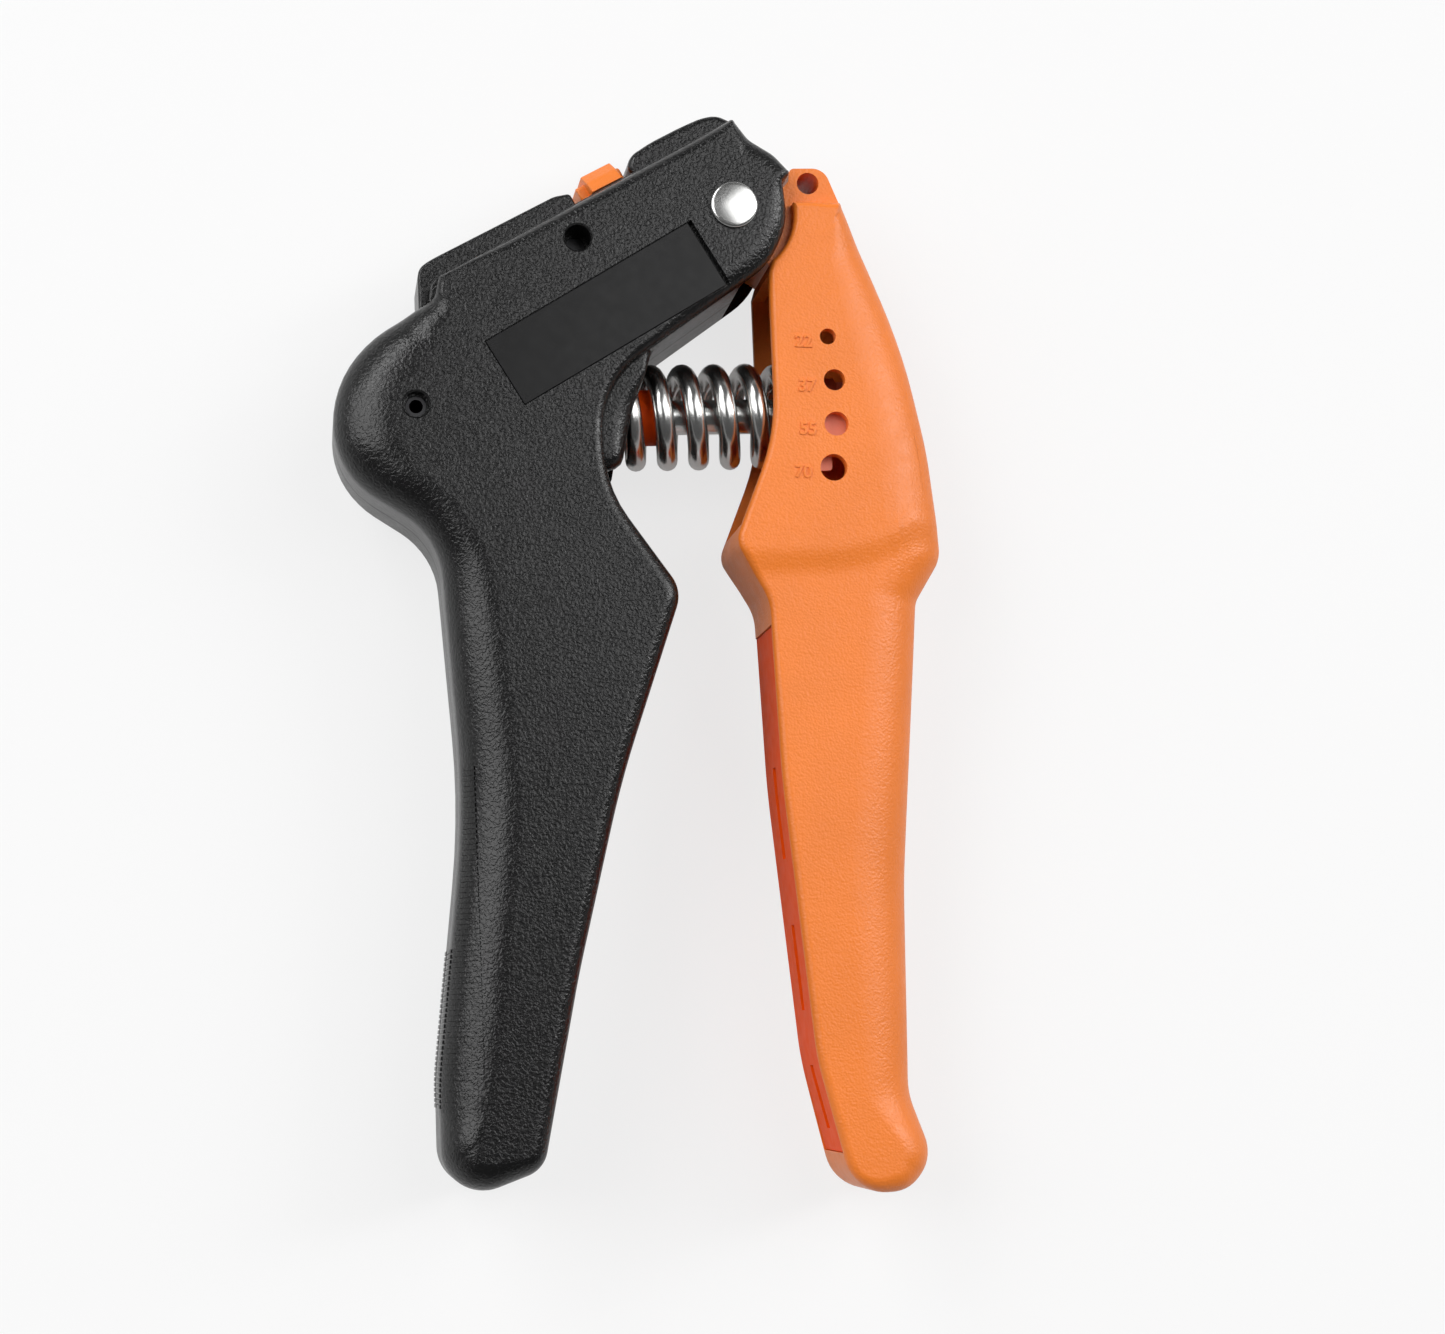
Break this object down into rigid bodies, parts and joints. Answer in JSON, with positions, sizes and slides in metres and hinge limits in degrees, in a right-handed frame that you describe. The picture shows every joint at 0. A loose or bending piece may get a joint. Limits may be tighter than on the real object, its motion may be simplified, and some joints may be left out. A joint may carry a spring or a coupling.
{
  "type": "hand grip strengthener",
  "caption": "Adjustable hand grip strengthener: a hollow fixed grip with a head, a hinged second grip, a coil spring on a guide rod between them, a lock lever and a row of setting windows.",
  "frame": {"origin": "on the hinge's axis, in the plane of the back face that the part lies on", "axes": "+X along the coil spring from the fixed grip to the moving one, +Y from the grips' free ends to the hinge, +Z out of the front face; the part lies on its back with its grips open"},
  "size_m": [0.0897, 0.1609, 0.0269],
  "materials": {
    "case_black": "leather-grained",
    "label_black": "smooth satin",
    "orange": "fine-grained satin",
    "orange_dark": "plain",
    "peach": "plain",
    "nylon": "plain",
    "steel": "satin",
    "polished_steel": "polished",
    "black_steel": "blackened"
  },
  "bodies": {
    "case": {"front_shell": "case_black", "back_shell": "case_black", "label_plate": "label_black", "case_screws": "steel", "pivot_rivet": "polished_steel", "rivet_collar": "steel", "hinge_washers": "nylon", "trunnion_pin": "black_steel", "lock_pin": "steel", "detent_spring": "steel"},
    "handle": {"moving_handle": "orange", "inner_cover": "orange_dark", "position_rack": "orange_dark", "pivot_bush": "nylon"},
    "lock": {"lock_lever": "orange"},
    "swing": {"swing_seat": "orange_dark", "guide_sleeve": "orange_dark", "seat_washer": "steel", "compression_spring": "polished_steel"},
    "plunger": {"guide_rod": "polished_steel", "spring_carrier": "peach", "carrier_pin": "steel", "carrier_washer": "steel"}
  },
  "joints": [
    {"name": "handle_pivot", "type": "hinge", "parent": "case", "child": "handle", "pos_m": [0, 0, 0.013], "axis": [0, 0, -1], "range_deg": [0, 12.5], "stiffness_Nm_per_rad": 42, "springref_deg": -0.29},
    {"name": "spring_swing", "type": "hinge", "parent": "case", "child": "swing", "pos_m": [-0.0476, -0.0292, 0.013], "axis": [0, 0, -1], "range_deg": [0, 3.3]},
    {"name": "rod_slide", "type": "slide", "parent": "swing", "child": "plunger", "axis": [1, 0, 0], "range_m": [-0.0068, 0], "deforming": ["compression_spring"]},
    {"name": "lock_pivot", "type": "hinge", "parent": "case", "child": "lock", "pos_m": [-0.0233, -0.0047, 0.013], "axis": [0, 0, 1], "range_deg": [0, 8]}
  ],
  "couplings": [
    {"joint": "spring_swing", "follows": "handle_pivot", "ratio": 0.26056},
    {"joint": "rod_slide", "follows": "handle_pivot", "m_per_rad": -0.030578}
  ]
}
